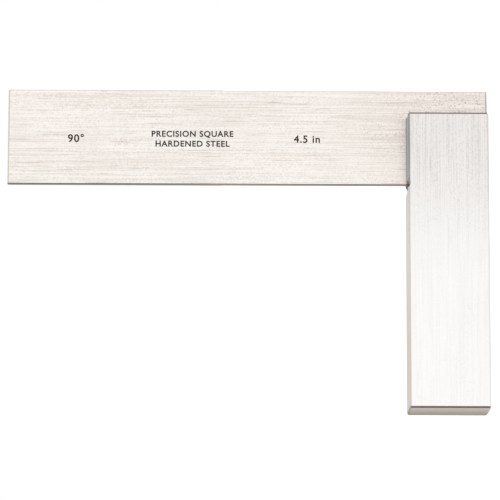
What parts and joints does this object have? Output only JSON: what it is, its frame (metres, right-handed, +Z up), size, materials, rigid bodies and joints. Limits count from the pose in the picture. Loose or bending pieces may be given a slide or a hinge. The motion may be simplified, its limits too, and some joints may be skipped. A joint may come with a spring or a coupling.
{
  "type": "try square",
  "caption": "All-steel precision try square: a thin blade fixed at a right angle in the slotted end of a thick solid stock, with a burr relief at the inside corner.",
  "frame": {"origin": "middle of the footprint on the surface the square stands on, under the middle of its overall length and thickness", "axes": "the square stands on the outer face of its stock: +Z up the blade to its tip, +X from the stock's free end to the blade's outer edge, +Y across the thickness from the marked side to the back"},
  "size_m": [0.0926, 0.016, 0.1373],
  "materials": {
    "stock_steel": "hardened tool steel, surface ground along its length, broken edges darker",
    "blade_steel": "hardened tool steel, ground along its length, lapped edges, faint warm tint and age spots",
    "dowel_steel": "hardened dowel ground flush with the stock's back"
  },
  "bodies": {
    "root": {"stock": "stock_steel", "blade": "blade_steel", "dowel_1": "dowel_steel", "dowel_2": "dowel_steel", "dowel_3": "dowel_steel"}
  },
  "joints": []
}
